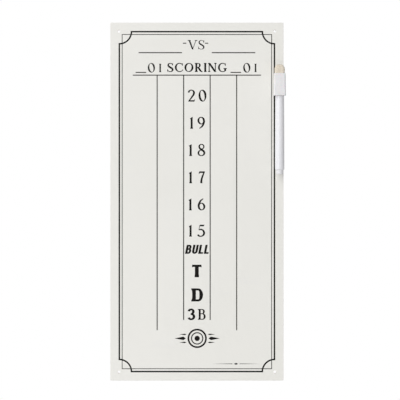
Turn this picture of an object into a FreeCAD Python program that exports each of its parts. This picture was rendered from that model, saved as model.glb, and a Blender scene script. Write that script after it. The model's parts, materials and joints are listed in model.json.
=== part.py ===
"""Wall-hung dry-wipe scoring board for darts, with a capped marker held on its right margin.

Row frame, millimetres: X to the right, Y into the wall, Z up. The origin is the centre of
the board's back face, so the board lies at Y = -3.2 to 0 and the marker stands in front of it.
"""

import FreeCAD, Part

import os

V = FreeCAD.Vector
FORWARD = V(0, -1, 0)
UP = V(0, 0, 1)

# ---- driving dimensions: board ----
board_width = 190.5
board_height = 393.7
backing_thickness = 0.2
core_thickness = 2.6
laminate_thickness = 0.4
board_corner_radius = 1.0
laminate_edge_chamfer = 0.15
hole_radius = 1.5
hole_inset = 9.525

# ---- driving dimensions: printed lines ----
ink_thickness = 0.05
border_line = 1.65
border_inset = 9.95
notch_radius = 13.3
inner_line = 0.75
inner_inset = 13.05
grid_line = 1.05
column_width = 29.15
rule_height = 139.1
rule_half_length = 70.5
inner_column_foot = -130.2
outer_column_foot = -141.4
name_line_height = 163.8
name_line_start = 16.4
name_line_end = 64.1
blank_height = 142.1
blank_length = 11.6
left_blank_start = -67.4
right_blank_start = 37.0

# ---- driving dimensions: marker ----
marker_x = 90.7
cap_top = 140.6
cap_length = 24.3
cap_top_width = 12.5
cap_mouth_width = 13.3
cap_corner_radius = 1.6
cap_edge_radius = 0.45
cap_wall = 1.2
eraser_height = 9.6
eraser_width = 11.3
eraser_corner_radius = 3.2
eraser_crown_radius = 3.0
eraser_socket_width = 10.7
eraser_socket_corner_radius = 2.9
eraser_socket_depth = 3.8
barrel_tail = 34.8
barrel_front_radius = 4.8
barrel_middle_radius = 5.0
barrel_tail_radius = 5.1
bore_front_radius = 3.6
bore_tail_radius = 3.75
plug_length = 4.8
plug_radius = 4.05
nib_radius = 1.5
nib_flat = 0.3
reservoir_radius = 3.05
film_thickness = 0.12

# ---- driving dimensions: hook-and-loop fastener ----
pad_width = 7.6
pad_height = 18.0
pad_corner_radius = 1.5
adhesive_thickness = 0.15
hook_pad_thickness = 1.1
loop_pad_thickness = 1.0
pad_gap = 0.3

# ---- fits ----
slide_gap = 0.3          # room between the cap and the marker that leaves it
seal_gap = 0.08          # running fit of the marker's sealing land past the seal's bead
seat_gap = 0.02          # between pressed-in pieces of one assembly

# ---- planes of the board and the fastener, from the wall forward ----
back_face = 0.0
core_back = back_face - backing_thickness
core_front = core_back - core_thickness
board_front = core_front - laminate_thickness
hook_back = board_front - adhesive_thickness
hook_front = hook_back - hook_pad_thickness
loop_back = hook_front - pad_gap
loop_front = loop_back - loop_pad_thickness
cap_back = loop_front - adhesive_thickness
marker_y = cap_back - cap_top_width / 2
half_width = board_width / 2
half_height = board_height / 2

# ---- heights in the cap, from its mouth up ----
cap_mouth = cap_top - cap_length
seal_foot = cap_mouth + 2.6
socket_floor = cap_top - eraser_socket_depth
seal_top = socket_floor - cap_wall
cap_bore_radius = barrel_front_radius + slide_gap
seal_wall = 0.75
seal_bead = 0.15
seal_inner_radius = cap_bore_radius - seal_wall

# ---- heights up the marker, from its tail to its tip ----
plug_foot = barrel_tail - plug_length
spigot_top = barrel_tail + 6.4
reservoir_foot = spigot_top
reservoir_top = 106.0
holder_foot = reservoir_top + 1.0
air_chamber_top = holder_foot + 5.0
barrel_front = seal_foot - slide_gap
land_top = barrel_front + 7.0
cone_top = land_top + 5.6
nib_tail = reservoir_top - 6.0
nib_shoulder = cone_top + 1.8
nib_tip = nib_shoulder + 1.4
land_radius = seal_inner_radius - seal_bead - seal_gap
rib_count = 4
rib_thickness = 0.8


def export(name, shape):
    """Writes one node and prints its number of solids and volume."""
    if not shape.isValid() or not shape.Solids:
        raise ValueError(f"{name} is not a valid closed solid")
    shape.exportStep(os.path.join("parts", name + ".step"))
    print(f"{name}: {len(shape.Solids)} solid(s), {shape.Volume:.2f} mm3")


# ---- shared shapes ----


def block(x0, x1, y_back, y_front, z0, z1):
    """A box between two corners, with y_front in front of y_back."""
    return Part.makeBox(x1 - x0, y_back - y_front, z1 - z0, V(x0, y_front, z0))


def rounded_plate(x, z, width, height, y_back, thickness, corner_radius):
    """A flat plate parallel to the wall, centred on x and z, with rounded corners."""
    half_w = width / 2
    half_h = height / 2
    plate = block(x - half_w, x + half_w, y_back, y_back - thickness, z - half_h, z + half_h)
    corners = [edge for edge in plate.Edges if abs(edge.tangentAt(edge.FirstParameter).y) > 0.5]
    return plate.makeFillet(corner_radius, corners)


def disc(x, z, y_back, thickness, radius):
    """A round plate parallel to the wall."""
    return Part.makeCylinder(radius, thickness, V(x, y_back, z), FORWARD)


def turned(profile):
    """A solid turned about the marker's axis from a closed outline of (radius, height) points.
    A point marked "via" is the middle of an arc between the points before and after it."""
    points = [(V(marker_x + point[0], marker_y, point[1]), "via" in point) for point in profile]
    start = points[0][0]
    middle = None
    edges = []
    for place, is_via in points[1:] + points[:1]:
        if is_via:
            middle = place
            continue
        if middle is None:
            edges.append(Part.makeLine(start, place))
        else:
            edges.append(Part.Arc(start, middle, place).toShape())
        start = place
        middle = None
    return Part.Face(Part.Wire(edges)).revolve(V(marker_x, marker_y, 0), UP, 360)


# ---- board ----


def board_layer(y_back, thickness):
    """One layer of the board, with its rounded corners and four screw holes."""
    layer = rounded_plate(0, 0, board_width, board_height, y_back, thickness, board_corner_radius)
    hole_x = half_width - hole_inset
    hole_z = half_height - hole_inset
    for side in (-1, 1):
        for end in (-1, 1):
            layer = layer.cut(disc(side * hole_x, end * hole_z, y_back, thickness, hole_radius))
    return layer


def make_board():
    export("rear_backing", board_layer(back_face, backing_thickness))
    export("board_core", board_layer(core_back, core_thickness))
    laminate = board_layer(core_front, laminate_thickness)
    at_front = [edge for edge in laminate.Edges if edge.BoundBox.YMax < board_front + 1e-6]
    outline = [edge for edge in at_front if not edge.isClosed()]
    export("writing_laminate", laminate.makeChamfer(laminate_edge_chamfer, outline))


# ---- printed lines on the laminate ----


def ink_bar(x_a, x_b, z_a, z_b):
    """A printed rectangle between two corners, given in either order."""
    x0, x1 = sorted((x_a, x_b))
    z0, z1 = sorted((z_a, z_b))
    return block(x0, x1, board_front, board_front - ink_thickness, z0, z1)


def ink_rule(z, x_a, x_b, width):
    """A horizontal printed line."""
    return ink_bar(x_a, x_b, z - width / 2, z + width / 2)


def ink_column(x, z_a, z_b, width):
    """An upright printed line."""
    return ink_bar(x - width / 2, x + width / 2, z_a, z_b)


def rectangle_lines(x, z, width, cut_back=0.0):
    """The four lines of a rectangle of half sizes x and z. cut_back shortens each end."""
    reach_x = x - cut_back + width / 2
    reach_z = z - cut_back + width / 2
    lines = []
    for side in (-1, 1):
        lines.append(ink_rule(side * z, -reach_x, reach_x, width))
        lines.append(ink_column(side * x, -reach_z, reach_z, width))
    return lines


def corner_notch(side, end):
    """The quarter circle that scoops one corner out of the border, round that corner."""
    x = side * (half_width - border_inset)
    z = end * (half_height - border_inset)
    ring = disc(x, z, board_front, ink_thickness, notch_radius + border_line / 2)
    ring = ring.cut(disc(x, z, board_front, ink_thickness, notch_radius - border_line / 2))
    reach = notch_radius + border_line
    return ring.common(ink_bar(x, x - side * reach, z, z - end * reach))


def make_border_print():
    border_x = half_width - border_inset
    border_z = half_height - border_inset
    border = rectangle_lines(border_x, border_z, border_line, cut_back=notch_radius)
    border += [corner_notch(side, end) for side in (-1, 1) for end in (-1, 1)]
    border += rectangle_lines(half_width - inner_inset, half_height - inner_inset, inner_line)
    export("border_print", border[0].fuse(border[1:]).removeSplitter())


def make_grid_print():
    grid = [ink_rule(rule_height, -rule_half_length, rule_half_length, grid_line)]
    for side in (-1, 1):
        inner_x = side * column_width / 2
        outer_x = side * column_width * 3 / 2
        grid.append(ink_column(inner_x, inner_column_foot, rule_height, grid_line))
        grid.append(ink_column(outer_x, outer_column_foot, rule_height, grid_line))
        grid.append(ink_rule(name_line_height, side * name_line_start, side * name_line_end, grid_line))
    for start in (left_blank_start, right_blank_start):
        grid.append(ink_rule(blank_height, start, start + blank_length, grid_line))
    export("grid_print", grid[0].fuse(grid[1:]).removeSplitter())


# ---- hook-and-loop fastener between the board and the cap ----


def pad(y_back, thickness):
    middle = (cap_top + cap_mouth) / 2
    return rounded_plate(marker_x, middle, pad_width, pad_height, y_back, thickness, pad_corner_radius)


def make_fastener():
    export("hook_pad_adhesive", pad(board_front, adhesive_thickness))
    export("hook_pad", pad(hook_back, hook_pad_thickness))
    export("loop_pad", pad(loop_back, loop_pad_thickness))
    export("loop_pad_adhesive", pad(loop_front, adhesive_thickness))


# ---- marker cap ----


def cap_section(width, height):
    """A square section of the cap whose back side lies on the fastener."""
    left = marker_x - width / 2
    right = marker_x + width / 2
    front = cap_back - width
    corners = [
        V(left, cap_back, height),
        V(right, cap_back, height),
        V(right, front, height),
        V(left, front, height),
    ]
    return Part.makePolygon(corners + corners[:1])


def square_post(width, z0, z1, corner_radius):
    """A square post on the marker's axis, with rounded upright corners."""
    half = width / 2
    post = block(marker_x - half, marker_x + half, marker_y + half, marker_y - half, z0, z1)
    upright = [edge for edge in post.Edges if abs(edge.tangentAt(edge.FirstParameter).z) > 0.5]
    return post.makeFillet(corner_radius, upright)


def make_cap():
    """The drafted cap: a blind bore from its mouth, and a socket for the eraser on top."""
    sections = [cap_section(cap_mouth_width, cap_mouth), cap_section(cap_top_width, cap_top)]
    shell = Part.makeLoft(sections, True, True)
    upright = [edge for edge in shell.Edges if edge.BoundBox.ZLength > cap_length / 2]
    shell = shell.makeFillet(cap_corner_radius, upright)
    top_rim = [edge for edge in shell.Edges if edge.BoundBox.ZMin > cap_top - 1e-3]
    shell = shell.makeFillet(cap_edge_radius, top_rim)
    lead_in = 0.4
    bore = turned(
        [
            (0, cap_mouth),
            (cap_bore_radius + lead_in, cap_mouth),
            (cap_bore_radius, cap_mouth + lead_in),
            (cap_bore_radius, seal_top),
            (0, seal_top),
        ]
    )
    socket = square_post(eraser_socket_width, socket_floor, cap_top, eraser_socket_corner_radius)
    export("marker_cap", shell.cut(bore).cut(socket))


def make_seal():
    """The thimble inside the cap, whose bead wipes the marker's land."""
    outer_radius = cap_bore_radius - seat_gap
    bead_height = seal_foot + 4.0
    bead_half_height = 0.8
    export(
        "cap_inner_seal",
        turned(
            [
                (seal_inner_radius, seal_foot),
                (outer_radius, seal_foot),
                (outer_radius, seal_top),
                (0, seal_top),
                (0, seal_top - seal_wall),
                (seal_inner_radius, seal_top - seal_wall),
                (seal_inner_radius, bead_height + bead_half_height),
                (seal_inner_radius - seal_bead, bead_height, "via"),
                (seal_inner_radius, bead_height - bead_half_height),
            ]
        ),
    )


def make_eraser():
    """The square felt plug in the cap's socket, bulging over its rim and rounded on top."""
    top = cap_top + eraser_height
    seated_width = eraser_socket_width - 2 * seat_gap
    head = square_post(eraser_width, cap_top, top, eraser_corner_radius)
    crown = [edge for edge in head.Edges if edge.BoundBox.ZMin > top - 1e-3]
    head = head.makeFillet(eraser_crown_radius, crown)
    seated = square_post(seated_width, socket_floor, cap_top, eraser_socket_corner_radius)
    export("felt_eraser", head.fuse(seated).removeSplitter())


# ---- marker ----


def bore_radius(height):
    """Radius of the barrel's drafted bore at a height."""
    share = (barrel_front - height) / (barrel_front - barrel_tail)
    return bore_front_radius + (bore_tail_radius - bore_front_radius) * share


def make_barrel():
    """The bowed tube, with ribs inside that hold the reservoir and let air past it."""
    tube = turned(
        [
            (bore_tail_radius, barrel_tail),
            (barrel_tail_radius - 0.7, barrel_tail),
            (barrel_tail_radius - 0.2, barrel_tail + 0.5, "via"),
            (barrel_tail_radius, barrel_tail + 1.6),
            (barrel_middle_radius, (barrel_tail + cap_mouth) / 2, "via"),
            (barrel_front_radius, cap_mouth),
            (barrel_front_radius, barrel_front - 0.3),
            (barrel_front_radius - 0.3, barrel_front),
            (bore_front_radius, barrel_front),
        ]
    )
    rib_start = reservoir_radius + film_thickness + seat_gap
    rib_end = bore_tail_radius + 0.2
    for i in range(rib_count):
        rib = Part.makeBox(
            rib_end - rib_start,
            rib_thickness,
            reservoir_top - reservoir_foot,
            V(rib_start, -rib_thickness / 2, reservoir_foot),
        )
        rib.rotate(V(0, 0, 0), UP, 45 + i * 360 / rib_count)
        rib.translate(V(marker_x, marker_y, 0))
        tube = tube.fuse(rib)
    export("marker_barrel", tube)


def make_plug():
    """The hollow plug in the barrel's tail, whose rim the reservoir rests on."""
    spigot_radius = bore_radius(spigot_top) - seat_gap
    inner_radius = spigot_radius - 1.0
    floor = plug_foot + 1.4
    chamfer = 0.6
    export(
        "end_plug",
        turned(
            [
                (0, plug_foot),
                (plug_radius - chamfer, plug_foot),
                (plug_radius, plug_foot + chamfer),
                (plug_radius, barrel_tail),
                (spigot_radius, barrel_tail),
                (spigot_radius, spigot_top - chamfer),
                (spigot_radius - chamfer / 2, spigot_top),
                (inner_radius, spigot_top),
                (inner_radius, floor),
                (0, floor),
            ]
        ),
    )


def make_nib_holder():
    """The front insert: spigot and air chamber below, sealing land and cone above."""
    spigot_radius = bore_front_radius - seat_gap
    chamber_radius = reservoir_radius - 0.5
    nib_bore = nib_radius + seat_gap
    export(
        "nib_holder",
        turned(
            [
                (chamber_radius, holder_foot),
                (spigot_radius, holder_foot),
                (spigot_radius, barrel_front),
                (land_radius, barrel_front),
                (land_radius, land_top - 0.5),
                (land_radius - 0.5, land_top),
                (3.5, land_top),
                (2.75, land_top + 2.6, "via"),
                (2.35, cone_top),
                (nib_bore, cone_top),
                (nib_bore, air_chamber_top),
                (chamber_radius, air_chamber_top),
            ]
        ),
    )


def make_nib():
    """The fibre rod with its bullet tip. Its tail stands in the reservoir."""
    export(
        "nib",
        turned(
            [
                (0, nib_tail),
                (nib_radius - 0.4, nib_tail),
                (nib_radius, nib_tail + 0.6),
                (nib_radius, nib_shoulder),
                (nib_radius * 0.8, nib_tip - 0.5, "via"),
                (nib_flat, nib_tip),
                (0, nib_tip),
            ]
        ),
    )


def make_reservoir():
    """The ink-soaked fibre rod, pierced by the nib's tail, in its film sleeve."""
    nib_hole = nib_radius + seat_gap
    film_bore = reservoir_radius + seat_gap
    export(
        "ink_reservoir",
        turned(
            [
                (0, reservoir_foot),
                (reservoir_radius, reservoir_foot),
                (reservoir_radius, reservoir_top),
                (nib_hole, reservoir_top),
                (nib_hole, nib_tail),
                (0, nib_tail),
            ]
        ),
    )
    export(
        "reservoir_film",
        turned(
            [
                (film_bore, reservoir_foot),
                (reservoir_radius + film_thickness, reservoir_foot),
                (reservoir_radius + film_thickness, reservoir_top),
                (film_bore, reservoir_top),
            ]
        ),
    )


os.makedirs("parts", exist_ok=True)
make_board()
make_border_print()
make_grid_print()
make_fastener()
make_cap()
make_seal()
make_eraser()
make_barrel()
make_plug()
make_nib_holder()
make_nib()
make_reservoir()
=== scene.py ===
import json
import math
import random

import bmesh
import bpy
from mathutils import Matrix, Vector, noise
from mathutils.geometry import delaunay_2d_cdt


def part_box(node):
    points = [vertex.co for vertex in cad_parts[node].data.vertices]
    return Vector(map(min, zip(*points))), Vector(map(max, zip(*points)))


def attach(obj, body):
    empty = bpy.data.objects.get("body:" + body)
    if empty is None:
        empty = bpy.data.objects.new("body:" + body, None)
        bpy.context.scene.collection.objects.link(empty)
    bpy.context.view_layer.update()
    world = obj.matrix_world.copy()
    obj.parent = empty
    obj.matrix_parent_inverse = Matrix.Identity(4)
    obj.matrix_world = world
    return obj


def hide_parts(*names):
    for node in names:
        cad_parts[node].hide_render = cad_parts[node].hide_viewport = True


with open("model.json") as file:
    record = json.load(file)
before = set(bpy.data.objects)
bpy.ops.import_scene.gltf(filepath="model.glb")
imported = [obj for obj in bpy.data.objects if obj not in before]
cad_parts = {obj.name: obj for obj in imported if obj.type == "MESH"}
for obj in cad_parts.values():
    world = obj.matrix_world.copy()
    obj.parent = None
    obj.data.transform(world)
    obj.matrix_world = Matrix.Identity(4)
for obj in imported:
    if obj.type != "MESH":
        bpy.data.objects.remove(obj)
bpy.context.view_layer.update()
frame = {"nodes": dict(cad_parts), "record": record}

nodes = frame["nodes"]
MM = 0.001


# ---------------------------------------------------------------- lettering


class Pen:
    """Draws one character, one unit tall, as outlines that may overlap. Weight 1 is a full stroke
    and weight 0 a hairline."""

    def __init__(self, thick, thin):
        self.thick = thick
        self.thin = thin
        self.outlines = []

    def width(self, weight):
        return self.thin + (self.thick - self.thin) * weight

    def patch(self, *corners):
        """A straight-sided area."""
        self.outlines.append(list(corners))

    def curve(self, *knots):
        """A smooth stroke through knots (x, y, heading in degrees, weight)."""
        steps = 12
        path = []
        for start, end in zip(knots, knots[1:]):
            path += [between(start, end, step / steps) for step in range(steps)]
        path.append(between(knots[-2], knots[-1], 1))
        edges = []
        for x, y, heading, weight in path:
            across = Vector((-math.sin(heading), math.cos(heading))) * self.width(weight) / 2
            edges.append((Vector((x, y)) + across, Vector((x, y)) - across))
        for (left_a, right_a), (left_b, right_b) in zip(edges, edges[1:]):
            self.patch(right_a, right_b, left_b, left_a)

    def oval(self, x, y, half_width, half_height, lean=0.0, weight=1.0):
        """A closed oval, thick at its sides, with its inner edge leaning by an angle in degrees."""
        steps = 48
        side = self.width(weight)
        outer, inner = [], []
        for step in range(steps):
            angle = math.tau * step / steps
            outer.append((x + half_width * math.cos(angle), y + half_height * math.sin(angle)))
            px = (half_width - side) * math.cos(angle)
            py = (half_height - self.thin) * math.sin(angle)
            turn = math.radians(lean)
            inner.append(
                (
                    x + px * math.cos(turn) - py * math.sin(turn),
                    y + px * math.sin(turn) + py * math.cos(turn),
                )
            )
        for i in range(steps):
            j = (i + 1) % steps
            self.patch(outer[i], outer[j], inner[j], inner[i])

    def serif(self, x, y, reach, width, up, sides):
        """A bracketed serif on the end of an upright stroke. up is 1 for a foot and -1 for a head."""
        depth = self.thin * 0.85
        rise = depth * 2.4
        outline = []
        for side in (1, -1):
            half = [(x + side * width / 2, y)]
            if side in sides:
                half = [(x + side * reach, y)]
                for step in range(6):
                    t = step / 5
                    along = reach + (width / 2 - reach) * t
                    half.append((x + side * along, y + up * (depth + (rise - depth) * t**3)))
            outline += half if side == 1 else half[::-1]
        self.patch(*outline)

    def stem(self, x, weight=1.0, foot=True, head=True, reach=0.09, low=0.0, high=1.0, sides=(1, -1)):
        """An upright stroke whose serifs reach out beyond its sides."""
        half = self.width(weight) / 2
        self.patch((x - half, low), (x + half, low), (x + half, high), (x - half, high))
        if foot:
            self.serif(x, low, half + reach, 2 * half, 1, sides)
        if head:
            self.serif(x, high, half + reach, 2 * half, -1, sides)

    def slant(self, x_low, x_high, weight, low=0.0, high=1.0):
        """A straight slanting stroke with level ends."""
        half = self.width(weight) / 2 * math.hypot(1, x_high - x_low)
        self.patch((x_low - half, low), (x_low + half, low), (x_high + half, high), (x_high - half, high))

    def half_turn(self):
        """Turns what is drawn so far upside down."""
        right = max(x for outline in self.outlines for x, y in outline)
        self.outlines = [[(right - x, 1 - y) for x, y in outline] for outline in self.outlines]


def between(start, end, t):
    """The point (x, y, heading in radians, weight) a share t along a smooth arc from start to end."""
    x0, y0, heading0, weight0 = start
    x1, y1, heading1, weight1 = end
    a, b = Vector((x0, y0)), Vector((x1, y1))
    roundness = 1.17 * (b - a).length
    leave = roundness * Vector((math.cos(math.radians(heading0)), math.sin(math.radians(heading0))))
    arrive = roundness * Vector((math.cos(math.radians(heading1)), math.sin(math.radians(heading1))))
    point = (
        a * (2 * t**3 - 3 * t**2 + 1)
        + leave * (t**3 - 2 * t**2 + t)
        + b * (3 * t**2 - 2 * t**3)
        + arrive * (t**3 - t**2)
    )
    going = (
        a * (6 * t**2 - 6 * t)
        + leave * (3 * t**2 - 4 * t + 1)
        + b * (6 * t - 6 * t**2)
        + arrive * (3 * t**2 - 2 * t)
    )
    ease = t * t * (3 - 2 * t)
    return point.x, point.y, math.atan2(going.y, going.x), weight0 + (weight1 - weight0) * ease


def draw_0(pen):
    pen.oval(0.332, 0.5, 0.332, 0.5, lean=9)


def draw_1(pen):
    half = pen.thick / 2
    pen.stem(0.14, head=False, reach=0.032, high=0.9)
    pen.patch((0.14 - half, 0.78), (0.14 + half, 0.78), (0.14 + half, 1.0), (0.0, 0.87), (0.01, 0.82))


def draw_2(pen):
    pen.curve(
        (0.05, 0.76, 82, 0.7), (0.27, 0.965, 0, 0.1), (0.50, 0.74, -90, 1.0),
        (0.33, 0.39, -124, 0.55), (0.06, 0.06, -131, 0.0),
    )
    pen.patch(
        (0.015, 0.0), (0.535, 0.0), (0.588, 0.2), (0.56, 0.2),
        (0.50, 0.12), (0.11, 0.12), (0.015, 0.04),
    )


def draw_3(pen):
    pen.curve((0.07, 0.79, 80, 0.8), (0.30, 0.96, 0, 0.25), (0.50, 0.76, -90, 1.0), (0.24, 0.53, 180, 0.0))
    pen.curve((0.24, 0.53, 0, 0.0), (0.56, 0.29, -90, 1.0), (0.29, 0.045, 180, 0.25), (0.06, 0.2, 108, 0.8))


def draw_5(pen):
    pen.patch((0.155, 0.865), (0.52, 0.865), (0.60, 1.0), (0.22, 1.0), (0.185, 0.96))
    pen.patch((0.165, 0.93), (0.215, 0.93), (0.145, 0.56), (0.10, 0.54))
    pen.curve(
        (0.12, 0.55, 30, 0.0), (0.28, 0.6, 0, 0.4), (0.56, 0.31, -90, 1.0),
        (0.27, 0.03, 180, 0.25), (0.045, 0.17, 108, 0.85),
    )


def draw_6(pen):
    pen.oval(0.313, 0.32, 0.313, 0.32, lean=10, weight=0.95)
    pen.curve((0.062, 0.33, 90, 0.85), (0.18, 0.72, 62, 0.75), (0.46, 0.98, 36, 0.0))


def draw_7(pen):
    pen.patch((0.02, 0.865), (0.46, 0.865), (0.525, 0.95), (0.515, 1.0), (0.06, 1.0))
    pen.patch((0.0, 0.765), (0.035, 0.765), (0.11, 0.87), (0.06, 0.98), (0.02, 0.88))
    pen.curve((0.47, 0.92, -118, 0.3), (0.285, 0.46, -108, 0.8), (0.215, 0.0, -94, 1.1))


def draw_8(pen):
    pen.curve(
        (0.33, 0.975, 180, 0.0), (0.13, 0.79, -90, 0.65), (0.31, 0.54, -38, 1.0), (0.56, 0.26, -90, 0.9),
        (0.31, 0.025, 180, 0.0), (0.06, 0.25, 90, 0.7), (0.31, 0.53, 34, 0.0), (0.52, 0.79, 90, 0.35),
        (0.33, 0.975, 180, 0.0),
    )


def draw_9(pen):
    draw_6(pen)
    pen.half_turn()


def draw_bowl(pen, inner, out, top, bottom, weight=1.0):
    """A half-round bowl from a stem's side, whose outer edge is at out."""
    turn = inner + (out - inner) * 0.42
    middle = (top + bottom) / 2
    rim = pen.thin / 2
    pen.curve(
        (inner, top - rim, 0, 0), (turn, top - rim, 0, 0.0),
        (out - pen.width(weight) / 2, middle, -90, weight),
        (turn, bottom + rim, 180, 0.0), (inner, bottom + rim, 180, 0),
    )


def draw_b(pen):
    pen.stem(0.08 + pen.thick / 2, sides=(-1,), reach=0.08)
    draw_bowl(pen, 0.08 + pen.thick * 0.6, 0.66, 1.0, 0.52, 0.9)
    draw_bowl(pen, 0.08 + pen.thick * 0.6, 0.74, 0.52 + pen.thin, 0.0)


def draw_c(pen):
    pen.curve(
        (0.86, 0.74, 108, 0.1), (0.52, 1 - pen.thin / 2, 180, 0.1), (pen.thick / 2, 0.5, -90, 1.0),
        (0.53, pen.thin / 2, 0, 0.1), (0.89, 0.26, 62, 0.0),
    )
    pen.patch((0.835, 0.67), (0.865, 0.67), (0.885, 0.99), (0.855, 0.99), (0.76, 0.87))


def draw_d(pen):
    pen.stem(0.07 + pen.thick / 2, sides=(-1,), reach=0.07)
    draw_bowl(pen, 0.07 + pen.thick * 0.6, 0.93, 1.0, 0.0)


def draw_g(pen):
    pen.curve(
        (0.84, 0.74, 108, 0.1), (0.51, 1 - pen.thin / 2, 180, 0.1), (pen.thick / 2, 0.5, -90, 1.0),
        (0.51, pen.thin / 2, 0, 0.1), (0.82, 0.13, 32, 0.1),
    )
    pen.patch((0.815, 0.67), (0.845, 0.67), (0.865, 0.99), (0.835, 0.99), (0.74, 0.87))
    pen.stem(0.80, foot=False, low=0.1, high=0.43)


def draw_i(pen):
    pen.stem(0.147, reach=0.147 - pen.thick / 2)


def draw_n(pen):
    pen.stem(0.14, weight=0.1, head=False)
    pen.stem(0.83, weight=0.1, foot=False)
    pen.slant(0.83, 0.13, 1.0)
    pen.patch((0.0, 1.0), (0.0, 1 - pen.thin * 0.85), (0.12, 1 - pen.thin * 2), (0.2, 1.0))


def draw_o(pen):
    pen.oval(0.495, 0.5, 0.495, 0.5, lean=-9)


def draw_r(pen):
    pen.stem(0.07 + pen.thick / 2, reach=0.07)
    draw_bowl(pen, 0.07 + pen.thick * 0.6, 0.66, 1.0, 0.49, 0.9)
    pen.curve((0.33, 0.52, -40, 0.7), (0.58, 0.22, -58, 1.0), (0.86, 0.02, -12, 0.1))


def draw_s(pen):
    pen.curve(
        (0.62, 0.77, 105, 0.1), (0.36, 1 - pen.thin / 2, 180, 0.0), (0.12, 0.765, -90, 0.75),
        (0.36, 0.505, -33, 1.0), (0.61, 0.245, -90, 0.85),
        (0.34, pen.thin / 2, 180, 0.0), (0.05, 0.25, 102, 0.1),
    )
    pen.patch((0.61, 0.70), (0.64, 0.70), (0.65, 0.99), (0.625, 0.99), (0.54, 0.89))
    pen.patch((0.02, 0.31), (0.05, 0.31), (0.12, 0.11), (0.045, 0.01), (0.02, 0.01))


def draw_t(pen):
    width = 0.765
    depth = pen.thin * 1.15
    pen.stem(width / 2, head=False, reach=0.025)
    half = [(0.01, 1.0), (0.0, 0.80), (0.035, 0.80), (0.09, 1 - depth)]
    pen.patch(*half, *[(width - x, y) for x, y in half[::-1]])


def draw_v(pen):
    slab = pen.thin * 0.85
    pen.slant(0.55, 0.18, 1.0)
    pen.slant(0.54, 0.91, 0.1)
    for left, right in ((0.0, 0.36), (0.77, 1.05)):
        inset = (right - left) * 0.36
        pen.patch(
            (left, 1.0), (left, 1 - slab), (left + inset, 1 - 2.2 * slab), (right - inset, 1 - 2.2 * slab),
            (right, 1 - slab), (right, 1.0),
        )


def draw_plain_b(pen):
    pen.patch((0, 0), (pen.thick, 0), (pen.thick, 1), (0, 1))
    waist = 0.44
    draw_bowl(pen, pen.thick * 0.6, 0.60, 1.0, waist)
    draw_bowl(pen, pen.thick * 0.6, 0.64, waist + pen.thin, 0.0)


def draw_plain_u(pen):
    left = pen.thick / 2
    right = 0.64 - pen.thick / 2
    for x in (left, right):
        pen.patch((x - left, 0.3), (x + left, 0.3), (x + left, 1), (x - left, 1))
    pen.curve((left, 0.31, -90, 1.0), (0.32, pen.thin / 2, 0, 0.0), (right, 0.31, 90, 1.0))


def draw_plain_l(pen):
    pen.patch((0, 0), (pen.thick, 0), (pen.thick, 1), (0, 1))
    pen.patch((0, 0), (0.53, 0), (0.53, pen.thin), (0, pen.thin))


CHARACTERS = {
    "0": draw_0, "1": draw_1, "2": draw_2, "3": draw_3, "5": draw_5, "6": draw_6, "7": draw_7, "8": draw_8,
    "9": draw_9, "B": draw_b, "C": draw_c, "D": draw_d, "G": draw_g, "I": draw_i, "N": draw_n,
    "O": draw_o, "R": draw_r, "S": draw_s, "T": draw_t, "V": draw_v,
}
PLAIN_CHARACTERS = {"B": draw_plain_b, "L": draw_plain_l, "U": draw_plain_u}


def line_of_type(
    text, left, right, foot, height, thick, thin, lean=0.0, stretch=1.0, characters=CHARACTERS
):
    """Outlines in millimetres of characters spaced evenly from left to right. thick and thin are
    stroke widths in millimetres, and lean is an angle in degrees."""
    drawn = []
    for character in text:
        pen = Pen(thick / height, thin / height)
        characters[character](pen)
        xs = [x for outline in pen.outlines for x, y in outline]
        drawn.append((pen.outlines, min(xs), max(xs)))
    room = right - left - math.tan(math.radians(lean)) * height * 0.6
    size = height * stretch
    used = sum(high - low for outlines, low, high in drawn) * size
    gap = (room - used) / max(len(text) - 1, 1)
    placed = []
    x_start = left if len(text) > 1 else (left + right - used) / 2
    for outlines, low, high in drawn:
        for outline in outlines:
            placed.append(
                [
                    (
                        x_start + (x - low) * size + math.tan(math.radians(lean)) * y * height,
                        foot + y * height,
                    )
                    for x, y in outline
                ]
            )
        x_start += (high - low) * size + gap
    return placed


def bar(left, right, middle, thickness):
    half = thickness / 2
    return [(left, middle - half), (right, middle - half), (right, middle + half), (left, middle + half)]


def ring(x, z, radius, width, sides=72):
    """Outlines of a ring whose outer radius is given."""
    rim = [Vector((math.cos(math.tau * i / sides), math.sin(math.tau * i / sides))) for i in range(sides)]
    centre = Vector((x, z))
    return [
        [
            centre + a * radius,
            centre + b * radius,
            centre + b * (radius - width),
            centre + a * (radius - width),
        ]
        for a, b in zip(rim, rim[1:] + rim[:1])
    ]


def disc(x, z, radius, sides=48):
    turns = [math.tau * i / sides for i in range(sides)]
    return [(x + radius * math.cos(turn), z + radius * math.sin(turn)) for turn in turns]


def tapered_rule(left, right, z, thickness):
    """A fine rule that thins out towards both ends, with a lozenge at its middle."""
    middle = (left + right) / 2
    half = thickness / 2
    widest = 0.15
    lozenge = [(middle - 2.4, z), (middle, z - 1.1), (middle + 2.4, z), (middle, z + 1.1)]
    sides = []
    for end in (left, right):
        shoulder = middle + widest * (end - middle)
        sides.append([(end, z), (shoulder, z - half), (shoulder, z + half)])
    return [lozenge, *sides]


def target_ornament(x, z):
    """Rings like a target's, between two tapering rules."""
    outlines = ring(x, z, 10.6, 1.9) + ring(x, z, 6.8, 1.2) + [disc(x, z, 2.9)]
    long_taper = (12.4, 15.2, 24.8, 1.9)
    short_taper = (11.6, 13.8, 19.6, 0.8)
    tapers = ((0, long_taper), (-4.4, short_taper), (4.4, short_taper))
    for side in (-1, 1):
        for height, (near, waist, far, half) in tapers:
            middle = z + height
            outlines.append(
                [
                    (x + side * near, middle),
                    (x + side * waist, middle - half),
                    (x + side * far, middle),
                    (x + side * waist, middle + half),
                ]
            )
    return outlines


ink_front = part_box("grid_print")[0].y
ink_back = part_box("grid_print")[1].y


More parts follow.
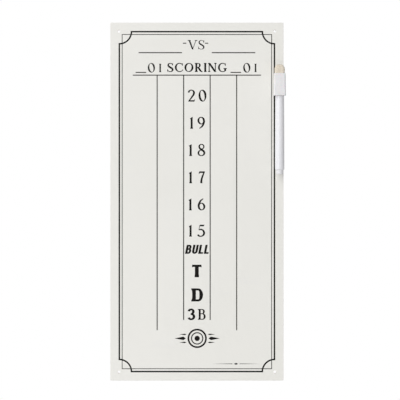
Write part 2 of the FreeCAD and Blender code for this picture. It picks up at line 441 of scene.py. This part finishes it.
def printed(name, outlines):
    """A film of ink on the board's face. The outlines are in millimetres and may overlap."""
    points, areas = [], []
    for outline in outlines:
        corners = [Vector(point) for point in outline]
        turning = sum(a.cross(b) for a, b in zip(corners, corners[1:] + corners[:1]))
        areas.append(list(range(len(points), len(points) + len(corners))))
        points += corners if turning > 0 else corners[::-1]
    found, _, triangles, _, _, sources = delaunay_2d_cdt(points, [], areas, 1, 1e-4)
    bm = bmesh.new()
    film = [bm.verts.new((x * MM, ink_back, z * MM)) for x, z in found]
    for triangle, covered_by in zip(triangles, sources):
        if covered_by:
            bm.faces.new([film[i] for i in triangle])
    bmesh.ops.delete(bm, geom=[v for v in bm.verts if not v.link_faces], context="VERTS")
    raised = bmesh.ops.extrude_face_region(bm, geom=bm.faces[:])["geom"]
    bmesh.ops.translate(
        bm, vec=(0, ink_front - ink_back, 0), verts=[v for v in raised if isinstance(v, bmesh.types.BMVert)]
    )
    bmesh.ops.recalc_face_normals(bm, faces=bm.faces)
    return piece(name, bm, "board", "ink")


def piece(name, bm, body, slot, smooth=False):
    """Makes an object of a bmesh in the frame's own metres, on a body and with a slot's finish."""
    mesh = bpy.data.meshes.new(name)
    bm.to_mesh(mesh)
    bm.free()
    if smooth:
        mesh.shade_smooth()
    made = bpy.data.objects.new(name, mesh)
    bpy.context.scene.collection.objects.link(made)
    mesh.materials.append(finishes[slot])
    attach(made, body)
    return made


# ---------------------------------------------------------------- finishes


class Finish:
    """A material with one Principled shader, whose textures follow the object's own metres."""

    def __init__(self, name, roughness=0.5, **constants):
        self.material = bpy.data.materials.new(name + "_finish")
        self.material.use_nodes = True
        self.tree = self.material.node_tree
        self.shader = self.tree.nodes["Principled BSDF"]
        self.shader.inputs["Roughness"].default_value = roughness
        for socket, value in constants.items():
            self.shader.inputs[socket.replace("_", " ").title().replace("Ior", "IOR")].default_value = value
        self.place = self.node("ShaderNodeTexCoord").outputs["Object"]

    def node(self, kind, **settings):
        made = self.tree.nodes.new(kind)
        for name, value in settings.items():
            setattr(made, name, value)
        return made

    def feed(self, node, socket, value):
        """Links a socket, or sets its number."""
        if isinstance(value, bpy.types.NodeSocket):
            self.tree.links.new(value, node.inputs[socket])
        else:
            node.inputs[socket].default_value = value

    def stretched(self, stretch):
        if stretch is None:
            return self.place
        mapping = self.node("ShaderNodeMapping")
        self.feed(mapping, "Vector", self.place)
        mapping.inputs["Scale"].default_value = stretch
        return mapping.outputs["Vector"]

    def noise(self, size, detail=3.0, rough=0.5, stretch=None, distortion=0.0):
        """Noise whose blobs are about size metres across. A stretch under 1 makes them longer."""
        made = self.node("ShaderNodeTexNoise")
        self.feed(made, "Vector", self.stretched(stretch))
        self.feed(made, "Scale", 1 / size)
        self.feed(made, "Detail", detail)
        self.feed(made, "Roughness", rough)
        self.feed(made, "Distortion", distortion)
        return made.outputs["Fac"]

    def cells(self, size, stretch=None, feature="F1"):
        made = self.node("ShaderNodeTexVoronoi", feature=feature)
        self.feed(made, "Vector", self.stretched(stretch))
        self.feed(made, "Scale", 1 / size)
        return made.outputs["Distance"]

    def waves(self, pitch, axis, distortion=0.0, profile="SIN"):
        """Parallel bands, a pitch in metres apart."""
        pitch_at_scale_1 = 0.314
        made = self.node("ShaderNodeTexWave", bands_direction=axis, wave_profile=profile)
        self.feed(made, "Vector", self.place)
        self.feed(made, "Scale", pitch_at_scale_1 / pitch)
        self.feed(made, "Distortion", distortion)
        self.feed(made, "Detail", 2.0)
        return made.outputs["Fac"]

    def between(self, value, low, high, out_low=0.0, out_high=1.0):
        """Spreads a value that runs from low to high over another range."""
        made = self.node("ShaderNodeMapRange", interpolation_type="SMOOTHSTEP")
        self.feed(made, "Value", value)
        limits = {"From Min": low, "From Max": high, "To Min": out_low, "To Max": out_high}
        for socket, number in limits.items():
            self.feed(made, socket, number)
        return made.outputs["Result"]

    def sum(self, a, b, share=1.0):
        """a plus a share of b."""
        made = self.node("ShaderNodeMath", operation="MULTIPLY_ADD")
        self.feed(made, 0, b)
        self.feed(made, 1, share)
        self.feed(made, 2, a)
        return made.outputs[0]

    def times(self, a, b):
        made = self.node("ShaderNodeMath", operation="MULTIPLY")
        self.feed(made, 0, a)
        self.feed(made, 1, b)
        return made.outputs[0]

    def colours(self, value, *stops):
        """A colour from a value, through stops of (place, red, green, blue)."""
        ramp = self.node("ShaderNodeValToRGB")
        self.feed(ramp, "Fac", value)
        points = ramp.color_ramp.elements
        while len(points) < len(stops):
            points.new(0.5)
        for point, (place, *colour) in zip(points, stops):
            point.position = place
            point.color = (*colour, 1)
        return ramp.outputs["Color"]

    def mixed(self, share, a, b):
        """A colour mixed from a to b by a share."""
        made = self.node("ShaderNodeMix", data_type="RGBA")
        self.feed(made, "Factor", share)
        for socket, value in (("A", a), ("B", b)):
            target = next(s for s in made.inputs if s.name == socket and s.type == "RGBA")
            if isinstance(value, bpy.types.NodeSocket):
                self.tree.links.new(value, target)
            else:
                target.default_value = (*value, 1)
        return next(s for s in made.outputs if s.type == "RGBA")

    def use(self, colour=None, roughness=None, height=None, depth=0.0):
        """Feeds the shader. depth is the height of the relief in metres."""
        if colour is not None:
            self.feed(self.shader, "Base Color", colour)
        if roughness is not None:
            self.feed(self.shader, "Roughness", roughness)
        if height is not None:
            bump = self.node("ShaderNodeBump")
            self.feed(bump, "Height", height)
            self.feed(bump, "Distance", depth)
            self.feed(self.shader, "Normal", bump.outputs["Normal"])
        return self.material


def laminate():
    """Off-white melamine face: faint orange peel, and the streaks that wiping leaves."""
    f = Finish("laminate", specular_ior_level=0.5)
    peel = f.noise(0.0016, detail=2)
    wiped = f.noise(0.03, detail=5, stretch=(0.35, 1, 1.6), distortion=0.6)
    cloud = f.noise(0.12, detail=2)
    tone = f.mixed(f.between(cloud, 0.3, 0.7), (0.808, 0.799, 0.761), (0.823, 0.814, 0.778))
    haze = f.between(wiped, 0.56, 0.74, 0, 0.35)
    tone = f.mixed(haze, tone, (0.790, 0.782, 0.760))
    shine = f.sum(f.between(wiped, 0.3, 0.75, 0.30, 0.44), f.between(peel, 0.3, 0.7), 0.04)
    return f.use(tone, shine, peel, 0.000012)


def ink():
    """Screen-printed black, a film with fine mesh marks and a slightly uneven tone."""
    f = Finish("ink", specular_ior_level=0.13)
    mesh = f.sum(f.waves(0.00028, "X"), f.waves(0.00028, "Z"))
    patchy = f.noise(0.004, detail=4)
    tone = f.colours(patchy, (0.25, 0.0045, 0.004, 0.0035), (0.75, 0.009, 0.008, 0.007))
    return f.use(tone, f.between(patchy, 0.3, 0.7, 0.36, 0.52), mesh, 0.000004)


def hardboard():
    """Pressed wood fibre, in fine flat layers where the edges are cut."""
    f = Finish("hardboard", roughness=0.8)
    layers = f.noise(0.0011, detail=6, rough=0.7, stretch=(0.3, 2.6, 0.3))
    flecks = f.cells(0.0012, stretch=(0.5, 2.2, 0.5))
    tone = f.colours(
        layers, (0.28, 0.145, 0.075, 0.034), (0.5, 0.29, 0.165, 0.085), (0.72, 0.44, 0.29, 0.17)
    )
    tone = f.mixed(f.between(flecks, 0.05, 0.3, 0.45, 0.0), tone, (0.10, 0.05, 0.022))
    return f.use(tone, f.between(layers, 0.3, 0.7, 0.70, 0.90), f.sum(layers, flecks, 0.4), 0.00012)


def backing():
    """Brown resin-soaked paper with the pressed mark of the forming screen."""
    f = Finish("backing", roughness=0.75)
    screen = f.times(f.waves(0.0013, "X", 0.6), f.waves(0.0013, "Z", 0.6))
    fibre = f.noise(0.0018, detail=7, rough=0.68, stretch=(1, 1, 0.4))
    cloud = f.noise(0.045, detail=3)
    tone = f.colours(fibre, (0.3, 0.205, 0.118, 0.064), (0.7, 0.335, 0.215, 0.13))
    tone = f.mixed(f.between(cloud, 0.35, 0.7, 0, 0.35), tone, (0.19, 0.11, 0.06))
    tone = f.mixed(f.between(screen, 0.1, 0.8, 0.3, 0), tone, (0.13, 0.07, 0.038))
    return f.use(tone, f.between(fibre, 0.3, 0.7, 0.62, 0.84), f.sum(screen, fibre, 0.5), 0.0001)


def adhesive():
    """Milky acrylic glue, with the small blisters of a hand-pressed pad."""
    f = Finish("adhesive", subsurface_weight=0.2, subsurface_scale=0.0006)
    blister = f.between(f.cells(0.0014), 0.1, 0.5)
    tone = f.colours(blister, (0.0, 0.66, 0.66, 0.62), (1.0, 0.77, 0.77, 0.73))
    return f.use(tone, f.between(blister, 0, 1, 0.35, 0.6), blister, 0.00004)


def tape(name, light, dark):
    """Woven nylon tape."""
    f = Finish(name, sheen_weight=0.25, sheen_roughness=0.4)
    weave = f.times(f.waves(0.00032, "X", 0.3), f.waves(0.00026, "Z", 0.3))
    thread = f.noise(0.0004, detail=4)
    tone = f.mixed(f.sum(f.times(weave, 0.7), thread, 0.4), dark, light)
    return f.use(tone, f.between(thread, 0.3, 0.7, 0.42, 0.6), weave, 0.00005)


def cap_plastic():
    """Satin polypropylene with a fine spark-eroded texture and faint flow marks."""
    f = Finish("cap_plastic", subsurface_weight=0.08, subsurface_scale=0.001)
    grain = f.noise(0.00035, detail=3, rough=0.6)
    flow = f.noise(0.006, detail=4, stretch=(1.6, 1.6, 0.5), distortion=0.8)
    tone = f.mixed(f.between(flow, 0.3, 0.7), (0.765, 0.757, 0.768), (0.800, 0.792, 0.802))
    rubbed = f.between(flow, 0.45, 0.75, 0.46, 0.36)
    return f.use(tone, f.sum(rubbed, grain, 0.08), f.sum(grain, flow, 0.6), 0.00002)


def barrel_plastic():
    """Polished plastic with hairline scratches along its length and a little colour drift."""
    f = Finish("barrel_plastic", coat_weight=0.2, coat_roughness=0.2)
    drift = f.noise(0.02, detail=2, stretch=(1, 1, 0.4))
    hairlines = f.noise(0.0006, detail=5, rough=0.75, stretch=(1, 1, 0.03))
    tone = f.mixed(f.between(drift, 0.3, 0.7), (0.800, 0.802, 0.840), (0.825, 0.822, 0.850))
    shine = f.sum(f.between(drift, 0.3, 0.7, 0.24, 0.32), f.between(hairlines, 0.6, 0.8), 0.12)
    return f.use(tone, shine, hairlines, 0.000005)


def plug_plastic():
    """Satin moulded plastic, a little rougher than the barrel."""
    f = Finish("plug_plastic", coat_weight=0.1, coat_roughness=0.3)
    grain = f.noise(0.0005, detail=3)
    drift = f.noise(0.008, detail=2)
    tone = f.mixed(f.between(drift, 0.3, 0.7), (0.765, 0.762, 0.785), (0.795, 0.790, 0.812))
    return f.use(tone, f.sum(f.between(drift, 0.3, 0.7, 0.32, 0.42), grain, 0.06), grain, 0.000012)


def holder_plastic():
    """Unpolished moulded plastic, with dried ink specks near the nib."""
    f = Finish("holder_plastic", subsurface_weight=0.1, subsurface_scale=0.001)
    grain = f.noise(0.0004, detail=4)
    specks = f.between(f.cells(0.0016), 0.05, 0.13, 1, 0)
    height = f.node("ShaderNodeSeparateXYZ")
    f.feed(height, "Vector", f.place)
    nib_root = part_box("nib_holder")[1].z
    near_nib = f.between(height.outputs["Z"], nib_root - 0.006, nib_root)
    tone = f.mixed(f.between(grain, 0.3, 0.7), (0.75, 0.75, 0.735), (0.80, 0.80, 0.785))
    tone = f.mixed(f.times(specks, f.times(near_nib, 0.8)), tone, (0.03, 0.03, 0.035))
    return f.use(tone, f.between(grain, 0.3, 0.7, 0.38, 0.55), grain, 0.00002)


def seal_plastic():
    """Soft translucent polyethylene."""
    f = Finish("seal_plastic", subsurface_weight=0.35, subsurface_scale=0.002)
    haze = f.noise(0.003, detail=3)
    tone = f.mixed(f.between(haze, 0.3, 0.7), (0.70, 0.72, 0.71), (0.76, 0.77, 0.76))
    return f.use(tone, f.between(haze, 0.3, 0.7, 0.3, 0.45), haze, 0.00002)


def felt():
    """Pressed wool: matted strands with mottled tone, painted shade darkening the hollows, and a soft
    sheen.
    """
    f = Finish("felt", roughness=0.95, sheen_weight=0.45, sheen_roughness=0.5)
    strands = f.noise(0.0009, detail=8, rough=0.72, stretch=(1, 1, 0.32), distortion=1.4)
    clumps = f.noise(0.0032, detail=3, stretch=(1, 1, 0.5))
    # The tone follows the strands and clumps that also shape the relief, so the hollows carry painted shade
    # over the wool's own mottling.
    tone = f.colours(
        f.sum(f.times(strands, 0.75), clumps, 0.25),
        (0.30, 0.60, 0.52, 0.41), (0.5, 0.77, 0.69, 0.575), (0.70, 0.87, 0.81, 0.72),
    )
    return f.use(tone, f.between(strands, 0.3, 0.7, 0.86, 1.0), f.sum(strands, clumps, 0.6), 0.00025)


def strands_of(name, dark, light, length_share):
    """Bundled fibres that run along Z."""
    f = Finish(name, roughness=0.7)
    fibres = f.noise(0.0003, detail=5, rough=0.7, stretch=(1, 1, length_share))
    tone = f.mixed(f.between(fibres, 0.3, 0.7), dark, light)
    return f.use(tone, f.between(fibres, 0.3, 0.7, 0.55, 0.85), fibres, 0.00006)


def film():
    """Clear sleeve round the reservoir, with slight wrinkles."""
    f = Finish("film", roughness=0.12, transmission_weight=0.85, ior=1.49)
    wrinkles = f.noise(0.003, detail=4, stretch=(1, 1, 0.25), distortion=0.5)
    tone = f.mixed(f.between(wrinkles, 0.3, 0.7), (0.84, 0.86, 0.87), (0.90, 0.92, 0.93))
    return f.use(tone, f.between(wrinkles, 0.3, 0.7, 0.08, 0.2), wrinkles, 0.00004)


# The frame's own flat materials carry the slots' names, so these are kept apart from them.
finishes = {
    "laminate": laminate(),
    "ink": ink(),
    "hardboard": hardboard(),
    "backing": backing(),
    "adhesive": adhesive(),
    "hook_tape": tape("hook_tape", (0.84, 0.84, 0.82), (0.60, 0.60, 0.58)),
    "loop_tape": tape("loop_tape", (0.86, 0.86, 0.84), (0.64, 0.64, 0.62)),
    "cap_plastic": cap_plastic(),
    "seal_plastic": seal_plastic(),
    "felt": felt(),
    "barrel_plastic": barrel_plastic(),
    "plug_plastic": plug_plastic(),
    "holder_plastic": holder_plastic(),
    "nib_fibre": strands_of("nib_fibre", (0.008, 0.008, 0.010), (0.03, 0.03, 0.034), 0.12),
    "reservoir_fibre": strands_of("reservoir_fibre", (0.02, 0.02, 0.024), (0.11, 0.11, 0.12), 0.05),
    "film": film(),
}

for subpart in frame["record"]["subparts"]:
    mesh = nodes[subpart["node"]].data
    mesh.materials.clear()
    mesh.materials.append(finishes[subpart["material_slot"]])


# ---------------------------------------------------------------- printing on the board

numerals = (
    ("20", -10.0, 10.5, 110.0),
    ("19", -7.6, 9.0, 80.2),
    ("18", -8.7, 9.2, 50.2),
    ("17", -8.7, 8.8, 20.2),
    ("16", -9.0, 9.2, -9.6),
    ("15", -8.8, 9.0, -38.5),
)
for text, left, right, foot in numerals:
    printed("print_" + text, line_of_type(text, left, right, foot, 13.1, thick=2.2, thin=0.95))

printed("print_heading", line_of_type("SCORING", -32.7, 33.0, 142.6, 9.9, thick=2.05, thin=0.8))
for side, start in (("left", -54.0), ("right", 50.9)):
    printed(
        "print_01_" + side,
        line_of_type("0", start, start + 7.9, 141.9, 10.6, thick=1.6, thin=0.7, stretch=1.12)
        + line_of_type("I", start + 12.3, start + 14.9, 142.4, 9.2, thick=1.75, thin=0.6, stretch=0.9),
    )
printed(
    "print_versus",
    line_of_type("VS", -10.2, 8.25, 167.4, 10.2, thick=1.6, thin=0.5)
    + [bar(-15.4, -11.7, 174.2, 1.0), bar(8.9, 12.4, 174.2, 1.0)],
)
printed(
    "print_bull",
    line_of_type(
        "BULL", -13.1, 13.8, -57.4, 9.9,
        thick=2.55, thin=1.8, lean=11, stretch=0.98, characters=PLAIN_CHARACTERS,
    ),
)
printed("print_triple", line_of_type("T", -5.3, 5.1, -83.2, 13.8, thick=4.2, thin=2.1))
printed("print_double", line_of_type("D", -6.2, 6.8, -109.8, 14.4, thick=4.2, thin=2.3, stretch=0.96))
printed(
    "print_three_bed",
    line_of_type("3", -9.9, -2.1, -129.9, 11.8, thick=3.0, thin=1.6, stretch=0.97)
    + line_of_type("B", 1.0, 9.7, -129.9, 11.8, thick=2.2, thin=0.95, stretch=0.98),
)
printed("print_ornament", target_ornament(0.3, -150.4))
printed("print_foot_rule", tapered_rule(16.6, 69.4, -178.4, 0.7))


# ---------------------------------------------------------------- soft and fibrous pieces


def tube(bm, points, radius, sides=5, taper=1.0):
    """A round thread along points, closed at both ends."""
    rings = []
    count = len(points)
    for i, point in enumerate(points):
        along = (points[min(i + 1, count - 1)] - points[max(i - 1, 0)]).normalized()
        side = along.cross(Vector((0.31, 0.22, 0.93))).normalized()
        other = along.cross(side)
        thin = radius * (1 + (taper - 1) * i / (count - 1))
        turns = [math.tau * k / sides for k in range(sides)]
        rings.append(
            [
                bm.verts.new(point + side * thin * math.cos(turn) + other * thin * math.sin(turn))
                for turn in turns
            ]
        )
    for a, b in zip(rings, rings[1:]):
        for k in range(sides):
            bm.faces.new([a[k], a[(k + 1) % sides], b[(k + 1) % sides], b[k]])
    bm.faces.new(rings[0][::-1])
    bm.faces.new(rings[-1])


def tape_base(bm, low, high, corner):
    """A flat strip with round corners, from one corner of its box to the other."""
    outline = []
    corners = ((high.x, high.z, 0), (low.x, high.z, 90), (low.x, low.z, 180), (high.x, low.z, 270))
    for x, z, first in corners:
        cx = x - math.copysign(corner, x - (low.x + high.x) / 2)
        cz = z - math.copysign(corner, z - (low.z + high.z) / 2)
        for step in range(7):
            angle = math.radians(first + 15 * step)
            outline.append((cx + corner * math.cos(angle), cz + corner * math.sin(angle)))
    front = [bm.verts.new((x, low.y, z)) for x, z in outline]
    back = [bm.verts.new((x, high.y, z)) for x, z in outline]
    bm.faces.new(front)
    bm.faces.new(back[::-1])
    for i in range(len(outline)):
        j = (i + 1) % len(outline)
        bm.faces.new([front[j], front[i], back[i], back[j]])


def grid_spots(low, high, pitch, margin):
    """Evenly spaced places (x, z) over a face."""
    columns = int((high.x - low.x - 2 * margin) / pitch) + 1
    lines = int((high.z - low.z - 2 * margin) / pitch) + 1
    x_pitch = (high.x - low.x - 2 * margin) / (columns - 1)
    z_pitch = (high.z - low.z - 2 * margin) / (lines - 1)
    for line in range(lines):
        for column in range(columns):
            yield low.x + margin + column * x_pitch, low.z + margin + line * z_pitch, line


def hook_tape_pad():
    """The hook half of the tape: rows of stiff nylon crooks that stand out from the woven strip."""
    low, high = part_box("hook_pad")
    depth = high.y - low.y
    face = high.y - depth * 0.35
    bm = bmesh.new()
    tape_base(bm, Vector((low.x, face, low.z)), high, 0.9 * MM)
    thread = 0.085 * MM
    crook = 0.19 * MM
    chance = random.Random(11)
    for x, z, line in grid_spots(low, high, 0.92 * MM, 0.7 * MM):
        facing = 1 if line % 2 else -1
        x += chance.uniform(-0.04, 0.04) * MM
        stalk_top = low.y + thread + crook
        points = [Vector((x, face + 0.03 * MM, z)), Vector((x, (face + stalk_top) / 2, z))]
        for step in range(8):
            angle = math.radians(180 - 32 * step)
            hook_y = stalk_top - crook * math.sin(angle)
            hook_z = z + facing * crook * (1 + math.cos(angle))
            points.append(Vector((x, hook_y, hook_z)))
        tube(bm, points, thread, taper=0.8)
    made = piece("hook_tape_pad", bm, "board", "hook_tape", smooth=True)
    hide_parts("hook_pad")


def loop_tape_pad():
    """The loop half: a woven strip under a pile of small uneven loops."""
    low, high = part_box("loop_pad")
    depth = high.y - low.y
    face = low.y + depth * 0.4
    bm = bmesh.new()
    tape_base(bm, low, Vector((high.x, face, high.z)), 0.9 * MM)
    chance = random.Random(23)
    for x, z, line in grid_spots(low, high, 0.78 * MM, 0.75 * MM):
        x += chance.uniform(-0.2, 0.2) * MM
        z += chance.uniform(-0.2, 0.2) * MM
        turn = chance.uniform(0, math.tau)
        reach = chance.uniform(0.26, 0.42) * MM
        rise = (depth * 0.6 - 0.06 * MM) * chance.uniform(0.7, 1.0)
        lean = chance.uniform(-0.15, 0.15) * MM
        points = []
        for step in range(9):
            t = step / 8
            across = reach * math.cos(math.pi * t)
            points.append(
                Vector((
                    x + across * math.cos(turn) + lean * math.sin(math.pi * t),
                    face - 0.02 * MM + rise * math.sin(math.pi * t),
                    z + across * math.sin(turn),
                ))
            )
        tube(bm, points, 0.045 * MM, sides=4)
    made = piece("loop_tape_pad", bm, "cap", "loop_tape", smooth=True)
    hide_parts("loop_pad")


def square_reach(angle, half, corner):
    """How far a square with round corners reaches from its middle in a direction."""
    folded = abs((angle + math.pi / 4) % (math.pi / 2) - math.pi / 4)
    inner = half - corner
    if half * math.tan(folded) < inner:
        return half / math.cos(folded)
    along = inner * (math.cos(folded) + math.sin(folded))
    return along + math.sqrt(along ** 2 - 2 * inner ** 2 + corner ** 2)


def felt_dome():
    """The felt eraser: a square plug of matted wool, rounded on top, lumpy, with loose fibres on it."""
    low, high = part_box("felt_eraser")
    centre = (low + high) / 2
    half = (high.x - low.x) / 2 - 0.1 * MM
    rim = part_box("marker_cap")[1].z
    socket_half = half - 0.25 * MM
    crown = 5.2 * MM
    inset = 4.2 * MM
    corner = 2.9 * MM
    around = 120
    grain_scale = 900
    lump_scale = 260
    share_per_metre = 28
    chance = random.Random(5)

    def profile(t):
        """Half width and height on the outside of the plug, from its foot to the middle of its top."""
        sides, turn = 0.52, 0.86
        if t < sides:
            z = low.z + (high.z - crown - low.z) * t / sides
            swell = min(max((z - rim) / (0.8 * MM), 0), 1)
            return socket_half + (half - socket_half) * swell, z
        if t < turn:
            angle = math.radians(90 * (t - sides) / (turn - sides))
            rise = (crown - 0.1 * MM) * math.sin(angle)
            return half - inset * (1 - math.cos(angle)), high.z - crown + rise
        return (half - inset) * (1 - (t - turn) / (1 - turn)), high.z - 0.1 * MM

    def surface(angle, t):
        wide, z = profile(t)
        r = square_reach(angle, wide, min(corner, 0.55 * wide))
        point = Vector((centre.x + r * math.cos(angle), centre.y + r * math.sin(angle), z))
        if z > rim + 0.3 * MM:
            grain = noise.fractal(point * grain_scale, 1.0, 2.1, 4) * 0.10 * MM
            lump = noise.noise(point * lump_scale) * 0.12 * MM
            outward = Vector((math.cos(angle), math.sin(angle), 0.6)).normalized()
            point += outward * min(grain + lump, 0.09 * MM)
        return point

    bm = bmesh.new()
    levels = 84
    rings = [
        [bm.verts.new(surface(math.tau * k / around, level / levels)) for k in range(around)]
        for level in range(levels)
    ]
    for a, b in zip(rings, rings[1:]):
        for k in range(around):
            bm.faces.new([a[k], a[(k + 1) % around], b[(k + 1) % around], b[k]])
    for end, flip in ((rings[0], True), (rings[-1], False)):
        middle = bm.verts.new(sum((v.co for v in end), Vector()) / around)
        for k in range(around):
            face = [end[k], end[(k + 1) % around], middle]
            bm.faces.new(face[::-1] if flip else face)
    fibres = 520
    for _ in range(fibres):
        angle = chance.uniform(0, math.tau)
        t = chance.uniform(0.42, 0.97)
        heading = chance.uniform(-1.2, 1.2)
        length = chance.uniform(0.9, 2.2) * MM
        points = []
        for step in range(6):
            s = step / 5
            along = length * (s - 0.5)
            turned = along * math.sin(heading) / max(profile(t)[0], MM)
            spot = surface(angle + turned, t + along * math.cos(heading) * share_per_metre)
            upward = (spot.z - high.z + crown) * 0.8
            out = Vector((spot.x - centre.x, spot.y - centre.y, upward)).normalized()
            points.append(spot + out * (0.02 + 0.09 * math.sin(math.pi * s) * chance.uniform(0.4, 1)) * MM)
        tube(bm, points, 0.028 * MM, sides=3)
    made = piece("felt_plug", bm, "cap", "felt", smooth=True)
    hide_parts("felt_eraser")


hook_tape_pad()
loop_tape_pad()
felt_dome()


# ---------------------------------------------------------------- floor, light and camera


def soft_box(name, azimuth, elevation, distance, size, power):
    """A rectangular light that faces the board. Azimuth 0 is straight in front and 90 on the left."""
    a, e = math.radians(azimuth), math.radians(elevation)
    place = Vector((-math.sin(a) * math.cos(e), -math.cos(a) * math.cos(e), math.sin(e))) * distance
    data = bpy.data.lights.new(name, "AREA")
    data.shape = "RECTANGLE"
    data.size, data.size_y = size
    data.energy = power
    light = bpy.data.objects.new(name, data)
    light.location = place
    light.rotation_euler = (-place).to_track_quat("-Z", "Y").to_euler()
    light.visible_camera = False
    bpy.context.scene.collection.objects.link(light)


def white_room(left, right):
    """Soft light from all round, stronger from the left, and a plain white background."""
    world = bpy.data.worlds.new("white_room")
    world.use_nodes = True
    bpy.context.scene.world = world
    tree = world.node_tree
    background = tree.nodes["Background"]
    background.inputs["Color"].default_value = (1, 1, 1, 1)
    seen = tree.nodes.new("ShaderNodeLightPath")
    direction = tree.nodes.new("ShaderNodeTexCoord")
    split = tree.nodes.new("ShaderNodeSeparateXYZ")
    tree.links.new(direction.outputs["Generated"], split.inputs["Vector"])
    across = tree.nodes.new("ShaderNodeMapRange")
    tree.links.new(split.outputs["X"], across.inputs["Value"])
    level = tree.nodes.new("ShaderNodeMapRange")
    tree.links.new(seen.outputs["Is Camera Ray"], level.inputs["Value"])
    tree.links.new(across.outputs["Result"], level.inputs["To Min"])
    for node, socket, number in (
        (across, "From Min", -1), (across, "To Min", left), (across, "To Max", right), (level, "To Max", 1),
    ):
        node.inputs[socket].default_value = number
    tree.links.new(level.outputs["Result"], background.inputs["Strength"])


def pale_floor(height, radius):
    bm = bmesh.new()
    bmesh.ops.create_circle(bm, cap_ends=True, segments=96, radius=radius)
    mesh = bpy.data.meshes.new("floor")
    bm.to_mesh(mesh)
    bm.free()
    floor = bpy.data.objects.new("floor", mesh)
    floor.location.z = height
    f = Finish("pale_floor", roughness=0.85)
    mottle = f.noise(0.05, detail=4)
    mesh.materials.append(f.use(f.mixed(mottle, (0.80, 0.80, 0.79), (0.84, 0.84, 0.83))))
    bpy.context.scene.collection.objects.link(floor)


def square_on_camera():
    """A long lens, square to the board and a little right of and above its middle."""
    right = 3.41 * MM
    above = 1.78 * MM
    distance = 2.444
    data = bpy.data.cameras.new("camera")
    data.lens = 200
    data.sensor_width = 36
    camera = bpy.data.objects.new("camera", data)
    camera.location = (right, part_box("writing_laminate")[0].y - distance, above)
    camera.rotation_euler = (math.radians(90), 0, 0)
    bpy.context.scene.collection.objects.link(camera)
    bpy.context.scene.camera = camera


pale_floor(height=-0.35, radius=1.35)
white_room(left=0.72, right=0.36)
soft_box("key", azimuth=34, elevation=30, distance=4.0, size=(2.6, 4.2), power=103)
soft_box("back_fill", azimuth=180, elevation=25, distance=2.2, size=(1.6, 1.2), power=14)
square_on_camera()
bpy.context.scene.view_settings.view_transform = "Standard"
